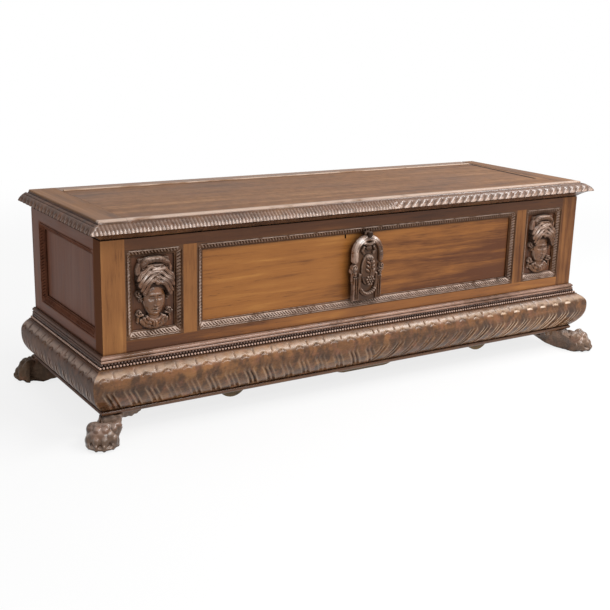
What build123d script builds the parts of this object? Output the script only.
from build123d import *
import os
from math import cos, radians, sin, sqrt

# Carved walnut cassone: a long panelled chest on a gadrooned base with four lion-paw feet.
# Millimetres. +Z is up, the front faces -Y, and the origin is on the floor under the middle.

os.makedirs("parts", exist_ok=True)

# ---------------------------------------------------------------- driving dimensions
# Chest body
case_width = 1680
case_depth = 532
case_height = 299
wall = 28
front_post_width = 64
front_post_depth = 48
rear_post_depth = 60
top_rail_height = 28
bottom_rail_height = 30
muntin_width = 39
mask_opening_width = 164

# Panels, their joints and their mouldings
panel_recess = 15
panel_thickness = 13
tongue_thickness = 6
tongue_depth = 7
tongue_end_gap = 0.5
tenon_thickness = 9
tenon_length = 20
moulding_width = 22
moulding_fillet = 5
moulding_inner_height = 4
mitre_gap = 0.15

# Feet
foot_height = 67
front_toe_reach = 99
rear_toe_reach = 74
front_foot_turn = 30
rear_foot_turn = 56
paw_half_width = 44
front_toe_overhang = 90.74
rear_toe_overhang = 62.1
paw_sole_length = 78
tail_reach = 186
toe_count = 4
toe_radius = 13
toe_length = 46
knuckle_radius = 16
knuckle_setback = 38
sole_setback = 18
ankle_drop = 14
heel_high_reach = 120
heel_middle_reach = 78
heel_low_reach = 40
toe_tip_setback = 3
toe_brow_setback = 22
instep_reach = 22
instep_drop = 3
ankle_reach = 8
ankle_rise = 4
neck_reach = 16
ball_setback = 60
ball_inset = 2
toe_root_setback = 28
toe_root_inset = 12
toe_row_fall = 20
capital_leg = 98
capital_height = 20
capital_inset = 26
capital_setback = 2
waist_setback = 12

# Base courses
base_rail_height = 12
base_rail_nose = 14
torus_height = 113
torus_overhang = 47
torus_top_overhang = 22
torus_foot_overhang = 9
cap_height = 34
cap_overhang = 6
cap_bead_radius = 4.5
apron_thickness = 13
apron_lobe_drop = 24
apron_lobe_width = 84
apron_lobe_x = 455
apron_swag_drop = 16
apron_swag_width = 240
apron_swag_shoulder = 44
apron_swag_ease = 5
corner_block_size = 60
corner_block_height = 101
bearer_width = 24
bearer_height = 24
bottom_board_count = 10
bottom_board_thickness = 20
bottom_board_gap = 1
dowel_radius = 9
dowel_depth_in_foot = 30
dowel_depth_in_block = 45

# Lid
lid_ring_height = 30
lid_board_thickness = 22
lid_board_overhang = 5
lid_edge_round = 4
lid_tip_overhang = 38
lid_quirk_drop = 5
lid_end_width = 76
lid_end_skew = 25
lid_shrink_gap = 8
lid_joint_gap = 0.5
lid_back_rail_width = 72
lid_bead_width = 10
lid_bead_height = 4
lid_bead_end_gap = 4
lid_open_clearance = 0.3

# Hinges
hinge_positions = (-560, 0, 560)
hinge_length = 90
hinge_leaf_reach = 26
hinge_leaf_thickness = 2
knuckle_count = 5
hinge_knuckle_radius = 5
hinge_knuckle_gap = 0.4
hinge_pin_radius = 2.5
hinge_running_clearance = 0.05
hinge_screw_spacing = 30

# Screws
screw_radius = 2
screw_head_radius = 4
screw_length = 18
lock_screw_length = 9

# Lock
keyhole_x = -88
keyhole_drop = 23
keyhole_width = 8
keyhole_slot_width = 5
keyhole_height = 23
lock_width = 110
lock_height = 88
lock_depth = 28
lock_plate = 3
lock_flange = 16
lock_top_gap = 1
staple_width = 18
staple_thickness = 5
staple_slot_clearance = 3
staple_plate_length = 44
staple_plate_width = 24
staple_window_width = 11
staple_window_height = 13
bolt_height = 9
bolt_width = 8
bolt_length = 40
bolt_clearance = 0.4
bolt_throw = 14
bolt_start_gap = 2
staple_window_drop = 24

# Cartouche and its pin
cartouche_x = -25
cartouche_pin_drop = 21
cartouche_top_drop = 3
cartouche_length = 195
cartouche_width = 108
cartouche_ear = 6
ear_radius = 10
cartouche_foot_width = 100
cartouche_plate = 16
cartouche_field_width = 56
cartouche_field_height = 96
cartouche_field_rise = 13
cartouche_stand_off = 4
pin_radius = 4
pin_head_radius = 9
pin_head_rise = 6.5
pin_running_clearance = 0.05
pin_eye_radius = 8.5
running_gap = 0.3

# Masks
mask_foot_gap = 0.5
mask_head_gap = 2.5
mask_hair_width = 100
mask_face_width = 60
mask_face_height = 88
mask_relief = 30
mask_crest_width = 84
mask_bib_width = 70

# ---------------------------------------------------------------- levels and planes
rail_z = foot_height
torus_z = rail_z + base_rail_height
cap_z = torus_z + torus_height
case_z = cap_z + cap_height
lid_z = case_z + case_height
board_z = lid_z + lid_ring_height
top_z = board_z + lid_board_thickness

half_width = case_width / 2
front_y = -(case_depth + rear_toe_overhang - front_toe_overhang) / 2
back_y = front_y + case_depth
inner_x = half_width - wall
front_inner_y = front_y + wall
back_inner_y = back_y - wall
panel_y = front_y + panel_recess
opening_bottom_z = case_z + bottom_rail_height
opening_top_z = lid_z - top_rail_height
mask_height = opening_top_z - opening_bottom_z - 2 * moulding_width - mask_foot_gap - mask_head_gap
mask_outer_x = half_width - front_post_width
mask_inner_x = mask_outer_x - mask_opening_width
centre_half = mask_inner_x - muntin_width
end_front_y = front_y + front_post_depth
end_back_y = back_y - rear_post_depth
moulding_height = panel_recess
hinge_axis_y = back_y + hinge_knuckle_radius + lid_open_clearance
lock_y = front_inner_y + lock_depth / 2
staple_window_z = lid_z - staple_window_drop
pin_z = opening_top_z - cartouche_pin_drop
keyhole_z = opening_top_z - keyhole_drop


# ---------------------------------------------------------------- helpers
def save(builder, name):
    """Label a finished sub-part and write its STEP file."""
    builder.part.label = name
    export_step(builder.part, f"parts/{name}.step")


def block(x_span, y_span, z_span, mode=Mode.ADD):
    """Add or cut a squared block from its spans along X, Y and Z."""
    spans = (sorted(x_span), sorted(y_span), sorted(z_span))
    middle = [(low + high) / 2 for low, high in spans]
    with Locations(tuple(middle)):
        Box(*[high - low for low, high in spans], mode=mode)


def upright(radius, x, y, z_span, mode=Mode.ADD):
    """Add or cut a round peg along Z."""
    low, high = sorted(z_span)
    with Locations((x, y, (low + high) / 2)):
        Cylinder(radius, high - low, mode=mode)


def lying(radius, x_span, y, z, mode=Mode.ADD):
    """Add or cut a round rod along X."""
    low, high = sorted(x_span)
    with Locations((((low + high) / 2), y, z)):
        Cylinder(radius, high - low, rotation=(0, 90, 0), mode=mode)


def through(radius, x, y_span, z, mode=Mode.ADD):
    """Add or cut a round rod along Y."""
    low, high = sorted(y_span)
    with Locations((x, (low + high) / 2, z)):
        Cylinder(radius, high - low, rotation=(90, 0, 0), mode=mode)


def screw(head_point, direction, length, mode=Mode.ADD):
    """Add or cut a countersunk wood screw whose flat head lies at head_point."""
    head_plane = Plane(origin=head_point, z_dir=direction)
    head_depth = screw_head_radius - screw_radius
    side_plane = Plane(origin=head_point, x_dir=head_plane.x_dir, z_dir=head_plane.y_dir * -1)
    with BuildSketch(side_plane) as profile:
        with BuildLine():
            Polyline((0, 0), (screw_head_radius, 0), (screw_radius, -head_depth),
                     (screw_radius, -length), (0, -length), close=True)
        make_face()
    revolve(profile.sketch, axis=Axis(head_point, direction), mode=mode)


def relief_swelling(ground_y, x, z, half_width, half_height, depth):
    """Add a rounded oval swelling that stands forward of an upright ground."""
    rings = []
    for share, level in ((1, 0), (0.88, 0.5), (0.5, 1)):
        ring_plane = Plane(origin=(x, ground_y - level * depth, z), x_dir=(1, 0, 0),
                           z_dir=(0, -1, 0))
        with BuildSketch(ring_plane) as ring:
            Ellipse(share * half_width, share * half_height)
        rings.append(ring.sketch)
    loft(rings)


def corner_mitre(side):
    """Vertical mitre plane at a front corner, facing away from the front course."""
    return Plane(origin=(side * half_width, front_y, 0), z_dir=(side, 1, 0))


def front_course(draw_section):
    """Front stick of a three-sided course, mitred at both ends."""
    reach = half_width + lid_tip_overhang + torus_overhang
    with BuildPart() as course:
        with BuildSketch(Plane(origin=(0, front_y, 0), x_dir=(0, -1, 0), z_dir=(-1, 0, 0))):
            draw_section()
        extrude(amount=reach, both=True)
        for side in (-1, 1):
            split(bisect_by=corner_mitre(side).offset(-mitre_gap), keep=Keep.BOTTOM)
    return course


def end_course(side, draw_section):
    """End stick of a three-sided course, mitred at the front and square at the back."""
    normal_y = -side
    with BuildPart() as course:
        with BuildSketch(Plane(origin=(side * half_width, back_y, 0), x_dir=(side, 0, 0),
                               z_dir=(0, normal_y, 0))):
            draw_section()
        extrude(amount=side * (case_depth + lid_tip_overhang + torus_overhang))
        split(bisect_by=corner_mitre(side).offset(mitre_gap), keep=Keep.TOP)
    return course


def panel_stick(frame_plane, quarter, half_across, half_run):
    """One moulding stick of a panel frame, mitred at both ends; quarter counts the sides."""
    turn = radians(90 * quarter)
    outward = frame_plane.x_dir * cos(turn) + frame_plane.y_dir * sin(turn)
    inward = outward * -1
    along = inward.cross(frame_plane.z_dir)
    edge = frame_plane.origin + outward * half_across
    with BuildPart() as stick:
        with BuildSketch(Plane(origin=edge, x_dir=inward, z_dir=along)):
            draw_panel_moulding()
        extrude(amount=half_run, both=True)
        for end in (-1, 1):
            corner = edge + along * (half_run * end)
            mitre = Plane(origin=corner, z_dir=along * end + inward)
            split(bisect_by=mitre.offset(-mitre_gap), keep=Keep.BOTTOM)
    return stick.part


def panel_frame(frame_plane, width, height):
    """Four mitred moulding sticks inside an opening; frame_plane lies on the panel face."""
    sticks = []
    for quarter in range(4):
        upright_side = quarter % 2 == 0
        half_across, half_run = (width / 2, height / 2) if upright_side else (height / 2, width / 2)
        sticks.append(panel_stick(frame_plane, quarter, half_across, half_run))
    with BuildPart() as frame:
        add(sticks)
    return frame


# ---------------------------------------------------------------- moulding sections
def draw_panel_moulding():
    """Section on the panel face: outer fillet, hollowed carved slope and inner fillet."""
    slope_start = (moulding_fillet, moulding_height)
    slope_end = (moulding_width - 2, moulding_inner_height)
    middle = ((slope_start[0] + slope_end[0]) / 2 + 2, (slope_start[1] + slope_end[1]) / 2 + 2)
    with BuildLine() as outline:
        Polyline((0, 0), (0, moulding_height), slope_start)
        ThreePointArc(slope_start, middle, slope_end)
        Polyline(slope_end, (moulding_width, moulding_inner_height), (moulding_width, 0), (0, 0))
    make_face(outline.edges())


def draw_base_rail(inner=wall):
    """Flat bearer rail under the torus with a rounded nose."""
    nose_radius = base_rail_height / 2
    shoulder = base_rail_nose - nose_radius
    with BuildLine() as outline:
        Polyline((shoulder, torus_z), (-inner, torus_z), (-inner, rail_z), (shoulder, rail_z))
        ThreePointArc((shoulder, rail_z), (base_rail_nose, rail_z + nose_radius),
                      (shoulder, torus_z))
    make_face(outline.edges())


def draw_front_base_rail():
    """Front rail, narrower so that the apron stands behind it."""
    draw_base_rail(inner=wall - apron_thickness)


def draw_torus():
    """Swelling gadrooned course, fullest above its middle height."""
    shoulder = (torus_overhang - 3, torus_z + 0.83 * torus_height)
    fullest = (torus_overhang, torus_z + 0.66 * torus_height)
    belly = (torus_overhang - 5, torus_z + 0.38 * torus_height)
    with BuildLine() as outline:
        Polyline((torus_top_overhang, cap_z), (-wall, cap_z), (-wall, torus_z),
                 (torus_foot_overhang, torus_z))
        Spline((torus_foot_overhang, torus_z), belly, fullest, shoulder,
               (torus_top_overhang, cap_z))
    make_face(outline.edges())


def draw_cap():
    """Hollow moulding with two beads that carries the chest body."""
    first = case_z - 4 * cap_bead_radius - 2
    second = first + 2 * cap_bead_radius
    third = second + 2 * cap_bead_radius
    toe = (torus_top_overhang, cap_z + 2)
    hollow = ((cap_overhang + torus_top_overhang) / 2 - 3, cap_z + 5.5)
    with BuildLine() as outline:
        Polyline((cap_overhang, third), (cap_overhang, case_z), (-wall, case_z), (-wall, cap_z),
                 (torus_top_overhang, cap_z), toe)
        ThreePointArc(toe, hollow, (cap_overhang, first))
        ThreePointArc((cap_overhang, first),
                      (cap_overhang + cap_bead_radius, first + cap_bead_radius),
                      (cap_overhang, second))
        ThreePointArc((cap_overhang, second),
                      (cap_overhang + cap_bead_radius, second + cap_bead_radius),
                      (cap_overhang, third))
    make_face(outline.edges())


def draw_lid_edge():
    """Carved leaf-tip edge: it laps the board's edge, swells to a tip and returns under it."""
    lip_z = top_z - lid_quirk_drop
    tip = (lid_tip_overhang, top_z - 21)
    with BuildLine() as outline:
        Polyline((-2, lid_z), (-wall, lid_z), (-wall, board_z), (lid_board_overhang, board_z),
                 (lid_board_overhang, lip_z))
        Spline((lid_board_overhang, lip_z), (20, lip_z - 3), (34, tip[1] + 6), tip)
        Spline(tip, (31, lid_z + 20), (12, lid_z + 6), (-2, lid_z))
    make_face(outline.edges())


# ---------------------------------------------------------------- front of the chest body
def cut_groove(x_span, z_span, y_low):
    """Cut a panel groove whose near wall is at y_low."""
    block(x_span, (y_low, y_low + tongue_thickness), z_span, mode=Mode.SUBTRACT)


groove_depth = tongue_depth + tongue_end_gap
groove_y = panel_y + (panel_thickness - tongue_thickness) / 2
end_groove_x = half_width - panel_recess - (panel_thickness + tongue_thickness) / 2
tenon_y = (groove_y + tongue_thickness / 2 - tenon_thickness / 2,
           groove_y + tongue_thickness / 2 + tenon_thickness / 2)
end_tenon_x = (end_groove_x + tongue_thickness / 2 - tenon_thickness / 2,
               end_groove_x + tongue_thickness / 2 + tenon_thickness / 2)
top_rail_zs = (opening_top_z, lid_z)
bottom_rail_zs = (case_z, opening_bottom_z)
tenon_top_zs = (opening_top_z + groove_depth, lid_z - 5)
tenon_bottom_zs = (case_z + 5, opening_bottom_z - groove_depth)

for side, word in ((-1, "left"), (1, "right")):
    outer = side * half_width
    inner = side * mask_outer_x
    with BuildPart() as front_post:
        block((inner, outer), (front_y, end_front_y), (case_z, lid_z))
        cut_groove((inner, inner + side * groove_depth), (opening_bottom_z, opening_top_z),
                   groove_y)
        groove_edges = sorted((side * end_groove_x, side * (end_groove_x + tongue_thickness)))
        block(groove_edges, (end_front_y - groove_depth, end_front_y),
              (opening_bottom_z, opening_top_z), mode=Mode.SUBTRACT)
        for tenon_zs in (tenon_top_zs, tenon_bottom_zs):
            block((inner, inner + side * tenon_length), tenon_y, tenon_zs, mode=Mode.SUBTRACT)
            block([side * x for x in end_tenon_x], (end_front_y - tenon_length, end_front_y),
                  tenon_zs, mode=Mode.SUBTRACT)
    save(front_post, f"front_post_{word}")

with BuildPart() as front_top_rail:
    block((-mask_outer_x, mask_outer_x), (front_y, front_inner_y), top_rail_zs)
    block((-mask_outer_x - tenon_length, mask_outer_x + tenon_length), tenon_y, tenon_top_zs)
    cut_groove((-mask_outer_x, mask_outer_x), (opening_top_z, opening_top_z + groove_depth),
               groove_y)
    for flange_side in (-1, 1):
        screw_x = keyhole_x + flange_side * (lock_width + lock_flange) / 2
        screw((screw_x, front_inner_y + lock_plate, lid_z - top_rail_height / 2), (0, 1, 0),
              lock_screw_length, mode=Mode.SUBTRACT)
save(front_top_rail, "front_top_rail")

with BuildPart() as front_bottom_rail:
    block((-mask_outer_x, mask_outer_x), (front_y, front_inner_y), bottom_rail_zs)
    block((-mask_outer_x - tenon_length, mask_outer_x + tenon_length), tenon_y, tenon_bottom_zs)
    cut_groove((-mask_outer_x, mask_outer_x),
               (opening_bottom_z - groove_depth, opening_bottom_z), groove_y)
save(front_bottom_rail, "front_bottom_rail")

for side, word in ((-1, "left"), (1, "right")):
    with BuildPart() as front_muntin:
        edges = (side * centre_half, side * mask_inner_x)
        block(edges, (front_y, front_inner_y), (opening_bottom_z, opening_top_z))
        block(edges, (groove_y, groove_y + tongue_thickness),
              (opening_bottom_z - tongue_depth, opening_top_z + tongue_depth))
        for edge, way in ((edges[0], side), (edges[1], -side)):
            cut_groove((edge, edge + way * groove_depth),
                       (opening_bottom_z - groove_depth, opening_top_z + groove_depth), groove_y)
    save(front_muntin, f"front_muntin_{word}")


def front_panel(x_span):
    """Panel between two edges of an opening in the front, with tongues on all four sides."""
    block(x_span, (panel_y, panel_y + panel_thickness), (opening_bottom_z, opening_top_z))
    block((x_span[0] - tongue_depth, x_span[1] + tongue_depth),
          (groove_y, groove_y + tongue_thickness), (opening_bottom_z, opening_top_z))
    block(x_span, (groove_y, groove_y + tongue_thickness),
          (opening_bottom_z - tongue_depth, opening_top_z + tongue_depth))


with BuildPart() as front_centre_panel:
    front_panel((-centre_half, centre_half))
    block((keyhole_x - keyhole_slot_width / 2, keyhole_x + keyhole_slot_width / 2),
          (panel_y, front_inner_y),
          (keyhole_z - keyhole_height / 2, keyhole_z + keyhole_height / 4), mode=Mode.SUBTRACT)
    through(keyhole_width / 2, keyhole_x, (panel_y, front_inner_y),
            keyhole_z + keyhole_height / 4, mode=Mode.SUBTRACT)
    through(pin_radius, cartouche_x, (panel_y, front_inner_y), pin_z, mode=Mode.SUBTRACT)
save(front_centre_panel, "front_centre_panel")

for side, word in ((-1, "left"), (1, "right")):
    with BuildPart() as mask_panel:
        front_panel(sorted((side * mask_inner_x, side * mask_outer_x)))
    save(mask_panel, f"mask_panel_{word}")

opening_height = opening_top_z - opening_bottom_z
opening_middle_z = (opening_top_z + opening_bottom_z) / 2
mask_centre_x = (mask_inner_x + mask_outer_x) / 2

front_face = Plane(origin=(0, panel_y, opening_middle_z), x_dir=(1, 0, 0), z_dir=(0, -1, 0))
with BuildPart() as centre_panel_moulding:
    add(panel_frame(front_face, 2 * centre_half, opening_height).part)
    through(pin_radius, cartouche_x, (front_y, panel_y), pin_z, mode=Mode.SUBTRACT)
save(centre_panel_moulding, "centre_panel_moulding")
for side, word in ((-1, "left"), (1, "right")):
    mask_face = Plane(origin=(side * mask_centre_x, panel_y, opening_middle_z),
                      x_dir=(1, 0, 0), z_dir=(0, -1, 0))
    save(panel_frame(mask_face, mask_opening_width, opening_height), f"mask_moulding_{word}")

# ---------------------------------------------------------------- ends of the chest body
end_panel_length = end_back_y - end_front_y
for side, word in ((-1, "left"), (1, "right")):
    rail_xs = (side * inner_x, side * half_width)
    groove_xs = (side * end_groove_x, side * (end_groove_x + tongue_thickness))
    tenon_xs = [side * x for x in end_tenon_x]
    with BuildPart() as end_rails:
        for rail_zs, tenon_zs in ((top_rail_zs, tenon_top_zs), (bottom_rail_zs, tenon_bottom_zs)):
            block(rail_xs, (end_front_y, end_back_y), rail_zs)
            block(tenon_xs, (end_front_y - tenon_length, end_back_y + tenon_length), tenon_zs)
        block(groove_xs, (end_front_y, end_back_y),
              (opening_top_z, opening_top_z + groove_depth), mode=Mode.SUBTRACT)
        block(groove_xs, (end_front_y, end_back_y),
              (opening_bottom_z - groove_depth, opening_bottom_z), mode=Mode.SUBTRACT)
    save(end_rails, f"end_rails_{word}")

    panel_face_x = side * (half_width - panel_recess)
    with BuildPart() as end_panel:
        block((panel_face_x, panel_face_x - side * panel_thickness), (end_front_y, end_back_y),
              (opening_bottom_z, opening_top_z))
        block(groove_xs, (end_front_y - tongue_depth, end_back_y + tongue_depth),
              (opening_bottom_z, opening_top_z))
        block(groove_xs, (end_front_y, end_back_y),
              (opening_bottom_z - tongue_depth, opening_top_z + tongue_depth))
    save(end_panel, f"end_panel_{word}")

    end_face = Plane(origin=(panel_face_x, (end_front_y + end_back_y) / 2, opening_middle_z),
                     x_dir=(0, side, 0), z_dir=(side, 0, 0))
    save(panel_frame(end_face, end_panel_length, opening_height), f"end_moulding_{word}")

    with BuildPart() as rear_post:
        block(rail_xs, (end_back_y, back_y), (case_z, lid_z))
        block(groove_xs, (end_back_y, end_back_y + groove_depth),
              (opening_bottom_z, opening_top_z), mode=Mode.SUBTRACT)
        for tenon_zs in (tenon_top_zs, tenon_bottom_zs):
            block(tenon_xs, (end_back_y, end_back_y + tenon_length), tenon_zs,
                  mode=Mode.SUBTRACT)
        back_groove_y = back_y - wall / 2 + tongue_thickness / 2
        block((side * inner_x, side * (inner_x + groove_depth)),
              (back_groove_y, back_groove_y - tongue_thickness), (case_z, lid_z),
              mode=Mode.SUBTRACT)
    save(rear_post, f"rear_post_{word}")

# ---------------------------------------------------------------- back and bottom
back_board_count = 3
back_board_height = case_height / back_board_count
back_board_gap = 0.3
leaf_y_span = (back_y - hinge_leaf_reach, back_y)
hinge_screw_y = back_y - hinge_leaf_reach / 2 - 1


def hinge_spans(x):
    """Span of one hinge along X."""
    return (x - hinge_length / 2, x + hinge_length / 2)


def hinge_screw_points(x, z):
    """Head points of the three screws in one hinge leaf."""
    return [(x + step * hinge_screw_spacing, hinge_screw_y, z) for step in (-1, 0, 1)]


with BuildPart() as back_boards:
    for row in range(back_board_count):
        zs = (case_z + row * back_board_height + back_board_gap,
              case_z + (row + 1) * back_board_height)
        block((-inner_x, inner_x), (back_inner_y, back_y), zs)
        block((-inner_x - tongue_depth, inner_x + tongue_depth),
              (back_groove_y, back_groove_y - tongue_thickness), zs)
    for x in hinge_positions:
        block(hinge_spans(x), leaf_y_span, (lid_z - hinge_leaf_thickness, lid_z),
              mode=Mode.SUBTRACT)
        for point in hinge_screw_points(x, lid_z):
            screw(point, (0, 0, 1), screw_length, mode=Mode.SUBTRACT)
save(back_boards, "back_boards")

with BuildPart() as bottom_boards:
    board_pitch = 2 * inner_x / bottom_board_count
    for place in range(bottom_board_count):
        start = -inner_x + place * board_pitch
        block((start + bottom_board_gap / 2, start + board_pitch - bottom_board_gap / 2),
              (front_inner_y, back_inner_y), (cap_z, cap_z + bottom_board_thickness))
save(bottom_boards, "bottom_boards")

with BuildPart() as bottom_bearers:
    for near, far in ((front_inner_y, front_inner_y + bearer_width),
                      (back_inner_y - bearer_width, back_inner_y)):
        block((-inner_x, inner_x), (near, far), (cap_z - bearer_height, cap_z))
save(bottom_bearers, "bottom_bearers")

# ---------------------------------------------------------------- base courses
save(front_course(draw_front_base_rail), "base_rail_front")
save(front_course(draw_torus), "base_torus_front")
save(front_course(draw_cap), "base_cap_front")
for side, word in ((-1, "left"), (1, "right")):
    save(end_course(side, draw_base_rail), f"base_rail_{word}")
    save(end_course(side, draw_torus), f"base_torus_{word}")
    save(end_course(side, draw_cap), f"base_cap_{word}")

with BuildPart() as base_back_board:
    block((-inner_x, inner_x), (back_inner_y, back_y), (rail_z, case_z))
save(base_back_board, "base_back_board")

with BuildPart() as apron_front:
    with BuildSketch(Plane(origin=(0, front_inner_y, 0), x_dir=(1, 0, 0), z_dir=(0, -1, 0))):
        with Locations((0, (rail_z + torus_z) / 2)):
            Rectangle(2 * (inner_x - 2), base_rail_height)
        with BuildLine():
            swag = apron_swag_width / 2
            swag_z = rail_z - apron_swag_drop
            swag_flat = swag - apron_swag_shoulder
            swag_bend = swag - apron_swag_shoulder / 2
            Spline((-swag, rail_z), (-swag_bend, swag_z + apron_swag_ease), (-swag_flat, swag_z))
            Line((-swag_flat, swag_z), (swag_flat, swag_z))
            Spline((swag_flat, swag_z), (swag_bend, swag_z + apron_swag_ease), (swag, rail_z))
            Line((swag, rail_z), (-swag, rail_z))
        make_face()
        for lobe_x in (-apron_lobe_x, apron_lobe_x):
            with BuildLine():
                half_lobe = apron_lobe_width / 2
                ThreePointArc((lobe_x - half_lobe, rail_z), (lobe_x, rail_z - apron_lobe_drop),
                              (lobe_x + half_lobe, rail_z))
                Line((lobe_x + half_lobe, rail_z), (lobe_x - half_lobe, rail_z))
            make_face()
    extrude(amount=apron_thickness)
save(apron_front, "apron_front")

foot_corners = [(side, end, f"{end_word}_{word}")
                for end, end_word in ((-1, "front"), (1, "rear"))
                for side, word in ((-1, "left"), (1, "right"))]
block_middle_x = inner_x - corner_block_size / 2
block_middle_ys = {-1: front_inner_y + corner_block_size / 2,
                   1: back_inner_y - corner_block_size / 2}

with BuildPart() as corner_blocks:
    for side, end, _ in foot_corners:
        x, y = side * block_middle_x, block_middle_ys[end]
        half = corner_block_size / 2
        block((x - half, x + half), (y - half, y + half), (rail_z, rail_z + corner_block_height))
        upright(dowel_radius, x, y, (rail_z, rail_z + dowel_depth_in_block), mode=Mode.SUBTRACT)
save(corner_blocks, "corner_blocks")

with BuildPart() as foot_dowels:
    for side, end, _ in foot_corners:
        upright(dowel_radius, side * block_middle_x, block_middle_ys[end],
                (rail_z - dowel_depth_in_foot, rail_z + dowel_depth_in_block))
save(foot_dowels, "foot_dowels")


# ---------------------------------------------------------------- lion-paw feet
def swell(plane, length, radius):
    """Add an egg-shaped swelling along the plane's X direction, centred at its origin."""
    with BuildSketch(plane) as profile:
        with BuildLine():
            EllipticalCenterArc((0, 0), length / 2, radius, start_angle=0, arc_size=180)
            Line((-length / 2, 0), (length / 2, 0))
        make_face()
    revolve(profile.sketch, axis=Axis(plane.origin, plane.x_dir))


def paw_foot(side, end, reach, turn):
    """Foot under one corner: u runs outward, turned away from the Y axis, w runs across it."""
    corner_y = front_y if end < 0 else back_y
    out = Vector(side * sin(radians(turn)), end * cos(radians(turn)), 0)
    across = Vector(0, 0, 1).cross(out)
    corner = Vector(side * half_width, corner_y, 0)
    sole_front = reach - sole_setback
    sole_back = sole_front - paw_sole_length
    ankle = foot_height - ankle_drop
    neck_half_width = 0.75 * paw_half_width

    def at(u, w, z):
        """Point at distance u outward, w across and z up from the corner on the floor."""
        return corner + out * u + across * w + Vector(0, 0, z)

    side_plane = Plane(origin=corner, x_dir=out, z_dir=out.cross(Vector(0, 0, 1)))
    plan_plane = Plane(origin=corner, x_dir=out, z_dir=(0, 0, 1))
    top_plane = Plane(origin=corner + Vector(0, 0, foot_height), x_dir=(side, end, 0),
                      z_dir=(0, 0, 1))
    waist_plane = top_plane.offset(-capital_height)
    plate_depth = capital_leg / sqrt(2)
    waist_depth = plate_depth - capital_inset
    with BuildPart() as foot:
        with BuildSketch(side_plane):
            with BuildLine():
                Spline((-tail_reach, foot_height), (-heel_high_reach, 0.57 * foot_height),
                       (-heel_middle_reach, 0.31 * foot_height),
                       (-heel_low_reach, 0.11 * foot_height), (sole_back, 0))
                Line((sole_back, 0), (sole_front, 0))
                Spline((sole_front, 0), (reach - toe_tip_setback, 0.3 * foot_height),
                       (reach - toe_brow_setback, 0.62 * foot_height),
                       (instep_reach, ankle - instep_drop), (ankle_reach, ankle + ankle_rise),
                       (capital_setback, foot_height))
                Line((capital_setback, foot_height), (-tail_reach, foot_height))
            make_face()
        extrude(amount=paw_half_width, both=True)
        with BuildSketch(plan_plane):
            with BuildLine():
                for way in (-1, 1):
                    Spline((-tail_reach - 1, 0), (-0.6 * tail_reach, 0.6 * neck_half_width * way),
                           (-0.2 * tail_reach, 0.96 * neck_half_width * way),
                           (neck_reach, neck_half_width * way),
                           (reach - ball_setback, (paw_half_width - ball_inset) * way),
                           (reach - toe_root_setback, (paw_half_width - toe_root_inset) * way),
                           (reach, 0))
            make_face()
        extrude(amount=foot_height, mode=Mode.INTERSECT)
        for place in range(toe_count):
            spread = 2 * place / (toe_count - 1) - 1
            fall = toe_row_fall * spread * spread
            w_toe = spread * (paw_half_width - toe_radius)
            toe_way = (out * 0.86 + across * (0.2 * spread) + Vector(0, 0, -0.5)).normalized()
            toe_middle = at(reach - fall - 0.45 * toe_length, w_toe, 0.32 * foot_height)
            swell(Plane(origin=toe_middle, x_dir=toe_way, z_dir=across.cross(toe_way)),
                  toe_length, toe_radius)
            with Locations(at(reach - 0.7 * fall - knuckle_setback, 0.86 * w_toe,
                              foot_height - 1.05 * knuckle_radius)):
                Sphere(knuckle_radius)
        with BuildSketch(top_plane):
            with BuildLine():
                Polyline((-capital_setback, 0), (-capital_setback - plate_depth, plate_depth),
                         (-capital_setback - plate_depth, -plate_depth), close=True)
            make_face()
        with BuildSketch(waist_plane):
            with BuildLine():
                Polyline((-waist_setback, 0), (-waist_setback - waist_depth, waist_depth),
                         (-waist_setback - waist_depth, -waist_depth), close=True)
            make_face()
        loft()
        upright(dowel_radius, side * block_middle_x, block_middle_ys[end],
                (foot_height - dowel_depth_in_foot, foot_height), mode=Mode.SUBTRACT)
        floor_reach = tail_reach + reach
        with Locations((corner.X, corner.Y, -floor_reach / 2)):
            Box(2 * floor_reach, 2 * floor_reach, floor_reach, mode=Mode.SUBTRACT)
    return foot


for end, word, reach, turn in ((-1, "front", front_toe_reach, front_foot_turn),
                               (1, "rear", rear_toe_reach, rear_foot_turn)):
    left_foot = paw_foot(-1, end, reach, turn)
    save(left_foot, f"paw_foot_{word}_left")
    with BuildPart() as right_foot:
        mirror(left_foot.part, about=Plane.YZ)
    save(right_foot, f"paw_foot_{word}_right")

# ---------------------------------------------------------------- lid
lid_front_y = front_y - lid_board_overhang
lid_side_x = half_width + lid_board_overhang
end_inner_x = lid_side_x - lid_end_width
lid_bead_length = 2 * (end_inner_x - lid_bead_end_gap)
field_back_y = back_y - lid_back_rail_width


def lid_outline(points):
    """Extrude a lid board from its plan outline."""
    with BuildSketch(Plane.XY.offset(board_z)) as plan:
        with BuildLine():
            Polyline(*points, close=True)
        make_face()
    extrude(plan.sketch, amount=lid_board_thickness)


with BuildPart() as lid_field:
    right_front = end_inner_x - lid_joint_gap
    right_back = end_inner_x + lid_end_skew - lid_shrink_gap
    lid_outline([(-end_inner_x + lid_joint_gap, lid_front_y), (right_front, lid_front_y),
                 (right_back, field_back_y), (-end_inner_x + lid_joint_gap, field_back_y)])
    for step in (-1, 1):
        screw((keyhole_x + step * (staple_plate_length / 2 - 7), lock_y, board_z - lock_plate),
              (0, 0, -1), screw_length, mode=Mode.SUBTRACT)
    front_top_edge = lid_field.edges().filter_by(Axis.X).group_by(Axis.Y)[0].sort_by(Axis.Z)[-1]
    fillet(front_top_edge, lid_edge_round)
save(lid_field, "lid_field")

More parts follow.
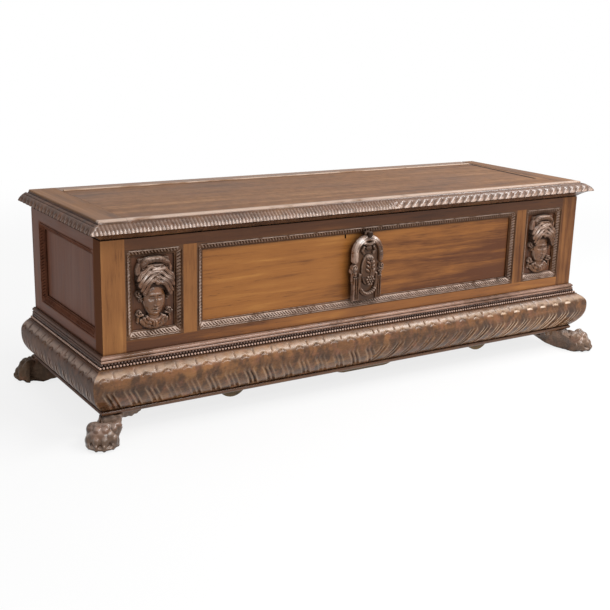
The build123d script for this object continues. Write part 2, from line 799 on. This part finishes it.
for side, word in ((-1, "left"), (1, "right")):
    skew = lid_end_skew if side > 0 else 0
    with BuildPart() as lid_end:
        lid_outline([(side * end_inner_x, lid_front_y), (side * lid_side_x, lid_front_y),
                     (side * lid_side_x, back_y), (side * (end_inner_x + skew), back_y)])
        outer_edges = lid_end.faces().sort_by(Axis.Z)[-1].edges()
        long_edge = outer_edges.sort_by(Axis.X)[-1 if side > 0 else 0]
        short_edge = outer_edges.sort_by(Axis.Y)[0]
        fillet([long_edge, short_edge], lid_edge_round)
    save(lid_end, f"lid_end_{word}")

with BuildPart() as lid_back_rail:
    rail_front_y = field_back_y + lid_joint_gap
    lid_outline([(-end_inner_x + lid_joint_gap, rail_front_y),
                 (end_inner_x + lid_end_skew - lid_shrink_gap, rail_front_y),
                 (end_inner_x + lid_end_skew - lid_shrink_gap, back_y),
                 (-end_inner_x + lid_joint_gap, back_y)])
    bead_y = rail_front_y + lid_bead_width / 2
    with BuildSketch(Plane(origin=(0, bead_y, top_z), x_dir=(0, -1, 0), z_dir=(-1, 0, 0))):
        with BuildLine():
            ThreePointArc((-lid_bead_width / 2, 0), (0, lid_bead_height), (lid_bead_width / 2, 0))
            Line((lid_bead_width / 2, 0), (-lid_bead_width / 2, 0))
        make_face()
    extrude(amount=lid_bead_length / 2, both=True)
save(lid_back_rail, "lid_back_rail")

save(front_course(draw_lid_edge), "lid_moulding_front")
for side, word in ((-1, "left"), (1, "right")):
    save(end_course(side, draw_lid_edge), f"lid_moulding_{word}")

with BuildPart() as lid_back_batten:
    block((-inner_x, inner_x), (back_inner_y, back_y), (lid_z, board_z))
    for x in hinge_positions:
        block(hinge_spans(x), leaf_y_span, (lid_z, lid_z + hinge_leaf_thickness),
              mode=Mode.SUBTRACT)
        for point in hinge_screw_points(x, lid_z):
            screw(point, (0, 0, -1), screw_length, mode=Mode.SUBTRACT)
save(lid_back_batten, "lid_back_batten")


# ---------------------------------------------------------------- hinges and screws
def hinge_leaf(x, z_span, first_knuckle, screw_way):
    """One hinge leaf with every second knuckle, starting at first_knuckle."""
    pitch = hinge_length / knuckle_count
    left = x - hinge_length / 2
    block(hinge_spans(x), leaf_y_span, z_span)
    for place in range(first_knuckle, knuckle_count, 2):
        span = (left + place * pitch + hinge_knuckle_gap / 2,
                left + (place + 1) * pitch - hinge_knuckle_gap / 2)
        block(span, (back_y, hinge_axis_y), z_span)
        lying(hinge_knuckle_radius, span, hinge_axis_y, lid_z)
    lying(hinge_pin_radius + hinge_running_clearance, hinge_spans(x), hinge_axis_y, lid_z,
          mode=Mode.SUBTRACT)
    for point in hinge_screw_points(x, lid_z):
        screw(point, (0, 0, screw_way), screw_length, mode=Mode.SUBTRACT)


with BuildPart() as hinge_lower_leaves:
    for x in hinge_positions:
        hinge_leaf(x, (lid_z - hinge_leaf_thickness, lid_z), 0, 1)
save(hinge_lower_leaves, "hinge_lower_leaves")

with BuildPart() as hinge_upper_leaves:
    for x in hinge_positions:
        hinge_leaf(x, (lid_z, lid_z + hinge_leaf_thickness), 1, -1)
save(hinge_upper_leaves, "hinge_upper_leaves")

with BuildPart() as hinge_pins:
    for x in hinge_positions:
        low, high = hinge_spans(x)
        lying(hinge_pin_radius, (low - 1, high + 1), hinge_axis_y, lid_z)
save(hinge_pins, "hinge_pins")

with BuildPart() as lid_screws:
    for x in hinge_positions:
        for point in hinge_screw_points(x, lid_z):
            screw(point, (0, 0, -1), screw_length)
    for step in (-1, 1):
        screw((keyhole_x + step * (staple_plate_length / 2 - 7), lock_y, board_z - lock_plate),
              (0, 0, -1), screw_length)
save(lid_screws, "lid_screws")

with BuildPart() as case_screws:
    for x in hinge_positions:
        for point in hinge_screw_points(x, lid_z):
            screw(point, (0, 0, 1), screw_length)
    for flange_side in (-1, 1):
        screw_x = keyhole_x + flange_side * (lock_width + lock_flange) / 2
        screw((screw_x, front_inner_y + lock_plate, lid_z - top_rail_height / 2), (0, 1, 0),
              lock_screw_length)
save(case_screws, "case_screws")

# ---------------------------------------------------------------- lock
lock_top_z = lid_z - lock_top_gap
lock_bottom_z = lock_top_z - lock_height
lock_xs = (keyhole_x - lock_width / 2, keyhole_x + lock_width / 2)
lock_ys = (front_inner_y, front_inner_y + lock_depth)
bolt_z = staple_window_z
bolt_tip_x = keyhole_x - staple_thickness / 2 - bolt_start_gap
bolt_xs = (bolt_tip_x - bolt_length, bolt_tip_x)
guide_height = bolt_height + 2 * bolt_clearance

with BuildPart() as lock_case:
    block(lock_xs, lock_ys, (lock_bottom_z, lock_top_z))
    block((lock_xs[0] - lock_flange, lock_xs[1] + lock_flange),
          (front_inner_y, front_inner_y + lock_plate), (opening_top_z + 1, lock_top_z))
    block((bolt_xs[0] - bolt_start_gap, bolt_xs[1] + bolt_throw + bolt_start_gap),
          (lock_y - bolt_width / 2 - bolt_clearance, lock_y + bolt_width / 2 + bolt_clearance),
          (bolt_z - guide_height / 2, bolt_z + guide_height / 2), mode=Mode.SUBTRACT)
    slot_half_x = staple_thickness / 2 + staple_slot_clearance
    slot_half_y = staple_width / 2 + staple_slot_clearance
    block((keyhole_x - slot_half_x, keyhole_x + slot_half_x),
          (lock_y - slot_half_y, lock_y + slot_half_y),
          (bolt_z - staple_window_height - 4, lock_top_z), mode=Mode.SUBTRACT)
    block((keyhole_x - keyhole_slot_width / 2, keyhole_x + keyhole_slot_width / 2),
          (lock_ys[0], lock_ys[1] - lock_plate),
          (keyhole_z - keyhole_height / 2, keyhole_z + keyhole_height / 4), mode=Mode.SUBTRACT)
    through(keyhole_width / 2, keyhole_x, (lock_ys[0], lock_ys[1] - lock_plate),
            keyhole_z + keyhole_height / 4, mode=Mode.SUBTRACT)
    for flange_side in (-1, 1):
        screw_x = keyhole_x + flange_side * (lock_width + lock_flange) / 2
        screw((screw_x, front_inner_y + lock_plate, lid_z - top_rail_height / 2), (0, 1, 0),
              lock_screw_length, mode=Mode.SUBTRACT)
save(lock_case, "lock_case")

with BuildPart() as lock_bolt:
    block(bolt_xs, (lock_y - bolt_width / 2, lock_y + bolt_width / 2),
          (bolt_z - bolt_height / 2, bolt_z + bolt_height / 2))
    tip_edges = lock_bolt.faces().sort_by(Axis.X)[-1].edges()
    chamfer(tip_edges, 1)
save(lock_bolt, "lock_bolt")

with BuildPart() as lock_staple:
    block((keyhole_x - staple_plate_length / 2, keyhole_x + staple_plate_length / 2),
          (lock_y - staple_plate_width / 2, lock_y + staple_plate_width / 2),
          (board_z - lock_plate, board_z))
    block((keyhole_x - staple_thickness / 2, keyhole_x + staple_thickness / 2),
          (lock_y - staple_width / 2, lock_y + staple_width / 2),
          (bolt_z - staple_window_height / 2 - 5, board_z - lock_plate))
    block((keyhole_x - staple_thickness / 2, keyhole_x + staple_thickness / 2),
          (lock_y - staple_window_width / 2, lock_y + staple_window_width / 2),
          (bolt_z - staple_window_height / 2, bolt_z + staple_window_height / 2),
          mode=Mode.SUBTRACT)
    for step in (-1, 1):
        screw((keyhole_x + step * (staple_plate_length / 2 - 7), lock_y, board_z - lock_plate),
              (0, 0, -1), screw_length, mode=Mode.SUBTRACT)
save(lock_staple, "lock_staple")

# ---------------------------------------------------------------- cartouche on its pin
cartouche_back_y = front_y - cartouche_stand_off
cartouche_face_y = cartouche_back_y - cartouche_plate
cartouche_back = Plane(origin=(cartouche_x, cartouche_back_y, pin_z), x_dir=(1, 0, 0),
                       z_dir=(0, -1, 0))
arch_radius = cartouche_width / 2
arch_z = -cartouche_top_drop - arch_radius
ear_z = arch_z - 0.9 * arch_radius
ear_x = arch_radius + cartouche_ear - ear_radius
foot_z = -cartouche_top_drop - cartouche_length
half_foot = cartouche_foot_width / 2
field_z = pin_z - cartouche_top_drop - 0.5 * cartouche_length

with BuildPart() as cartouche:
    with BuildSketch(cartouche_back):
        with BuildLine():
            ThreePointArc((-arch_radius, arch_z), (0, -cartouche_top_drop), (arch_radius, arch_z))
            Polyline((arch_radius, arch_z), (half_foot, foot_z), (-half_foot, foot_z),
                     (-arch_radius, arch_z))
        make_face()
        Circle(pin_eye_radius)
        with Locations((-ear_x, ear_z), (ear_x, ear_z)):
            Circle(ear_radius)
    extrude(amount=cartouche_plate)
    relief_swelling(cartouche_face_y, cartouche_x, field_z, cartouche_field_width / 2,
                    cartouche_field_height / 2, cartouche_field_rise)
    through(pin_radius + pin_running_clearance, cartouche_x,
            (cartouche_face_y - cartouche_field_rise, panel_y), pin_z, mode=Mode.SUBTRACT)
save(cartouche, "cartouche")

with BuildPart() as cartouche_pin:
    head_y = cartouche_face_y - running_gap
    through(pin_radius, cartouche_x, (head_y, front_inner_y), pin_z)
    through(pin_head_radius, cartouche_x, (head_y - pin_head_rise, head_y), pin_z)
    front_rim = cartouche_pin.edges().group_by(Axis.Y)[0]
    fillet(front_rim, 0.9 * pin_head_rise)
save(cartouche_pin, "cartouche_pin")


# ---------------------------------------------------------------- carved masks
def mask(x):
    """Classical head in high relief with crested hair, side knots and a gathered bib."""
    foot_z = opening_bottom_z + moulding_width + mask_foot_gap
    crest_z = foot_z + mask_height
    face_z = foot_z + 0.41 * mask_height
    hair_z = foot_z + 0.70 * mask_height
    half_crest = mask_crest_width / 2
    half_bib = mask_bib_width / 2
    with BuildPart() as head:
        with BuildSketch(Plane(origin=(x, panel_y, 0), x_dir=(1, 0, 0),
                               z_dir=(0, -1, 0))) as backing:
            with BuildLine():
                Polyline((half_crest, crest_z - 22), (half_crest, hair_z), (-half_crest, hair_z),
                         (-half_crest, crest_z - 22))
                Spline((-half_crest, crest_z - 22), (-0.6 * half_crest, crest_z - 2),
                       (0, crest_z), (0.6 * half_crest, crest_z - 2), (half_crest, crest_z - 22))
            make_face()
            with BuildLine():
                Polyline((-0.6 * half_bib, face_z), (0.6 * half_bib, face_z),
                         (half_bib, foot_z + 24), (0.6 * half_bib, foot_z),
                         (-0.6 * half_bib, foot_z), (-half_bib, foot_z + 24), close=True)
            make_face()
        extrude(backing.sketch, amount=0.45 * mask_relief)
        relief_swelling(panel_y, x, face_z, mask_face_width / 2, mask_face_height / 2,
                        mask_relief)
        for offset in (-0.24, 0, 0.24):
            relief_swelling(panel_y, x + offset * mask_hair_width, hair_z,
                            0.26 * mask_hair_width, 0.20 * mask_height, 0.8 * mask_relief)
        for way in (-1, 1):
            relief_swelling(panel_y, x + way * 0.36 * mask_hair_width,
                            foot_z + 0.18 * mask_height, 0.14 * mask_hair_width,
                            0.09 * mask_height, mask_relief / 2)
            relief_swelling(panel_y, x + way * 0.40 * mask_hair_width,
                            foot_z + 0.60 * mask_height, 0.14 * mask_hair_width,
                            0.07 * mask_height, mask_relief / 2)
    return head


for side, word in ((-1, "left"), (1, "right")):
    save(mask(side * mask_centre_x), f"mask_{word}")
